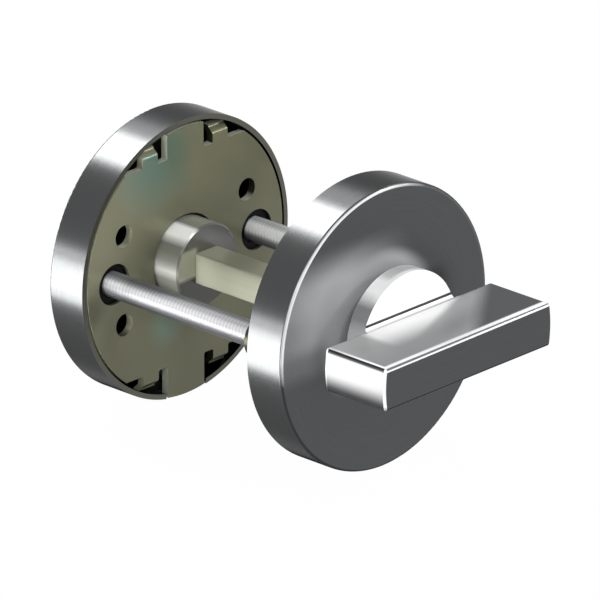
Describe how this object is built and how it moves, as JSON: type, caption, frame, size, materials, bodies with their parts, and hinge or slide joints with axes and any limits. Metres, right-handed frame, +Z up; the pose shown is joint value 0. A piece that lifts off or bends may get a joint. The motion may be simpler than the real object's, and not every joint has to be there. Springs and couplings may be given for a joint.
{
  "type": "bathroom thumb turn lock",
  "caption": "Bathroom door thumb turn and coin release on round roses, joined through the door by a square spindle and bolts.",
  "frame": {"origin": "where the lock's axis meets the door face under the turn's rose", "axes": "+Y along the spindle from the turn through the door to the release; +Z up; +X to the right as the turn is faced, along the bar at rest"},
  "size_m": [0.055, 0.081, 0.055],
  "materials": {
    "satin_stainless": "satin brushed stainless steel",
    "turned_steel": "fine turned",
    "yellow_zinc": "yellow passivated zinc",
    "pale_zinc": "pale yellow passivated zinc",
    "bright_zinc": "bright zinc",
    "spring_steel": "black phosphated",
    "black_nylon": "moulded matte"
  },
  "bodies": {
    "roses": {"turn_rose_cover": "satin_stainless", "turn_base_plate": "yellow_zinc", "turn_post_left": "yellow_zinc", "turn_post_right": "yellow_zinc", "turn_bush": "black_nylon", "bolt_left": "bright_zinc", "bolt_right": "bright_zinc", "release_rose_cover": "satin_stainless", "release_base_plate": "yellow_zinc", "release_bush": "black_nylon", "bolt_bush_left": "black_nylon", "bolt_bush_right": "black_nylon"},
    "turn": {"thumb_turn": "satin_stainless", "turn_washer": "bright_zinc", "turn_retaining_ring": "spring_steel", "spindle_grub_screw": "spring_steel", "spindle": "pale_zinc", "release_hub": "turned_steel", "release_washer": "bright_zinc", "release_retaining_ring": "spring_steel"}
  },
  "joints": [
    {"name": "turn_hinge", "type": "hinge", "parent": "roses", "child": "turn", "pos_m": [0, 0, 0], "axis": [0, -1, 0], "range_deg": [0, 90]}
  ]
}
